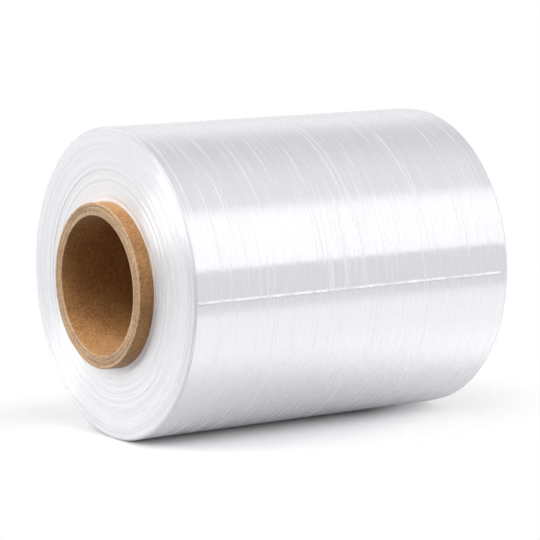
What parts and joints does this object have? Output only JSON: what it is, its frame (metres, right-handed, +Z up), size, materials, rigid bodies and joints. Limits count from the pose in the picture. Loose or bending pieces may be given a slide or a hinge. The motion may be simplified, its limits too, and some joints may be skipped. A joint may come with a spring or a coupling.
{
  "type": "stretch wrap roll",
  "caption": "Small roll of clear stretch film wound tight on a cardboard core, which stands out a little at both ends.",
  "frame": {"origin": "on the roll's axis, level with the end of the core that the roll stands on", "axes": "+Z up the roll's axis, to the end that the picture shows; the film's loose edge lies on the -Y side and faces -X"},
  "size_m": [0.0852, 0.0854, 0.1126],
  "materials": {
    "cardboard": "matte kraft board",
    "stretch_film": "glossy clear polyethylene film, white and slightly blue where it lies many turns deep"
  },
  "bodies": {
    "root": {"cardboard_core": "cardboard", "film_winding": "stretch_film"}
  },
  "joints": []
}
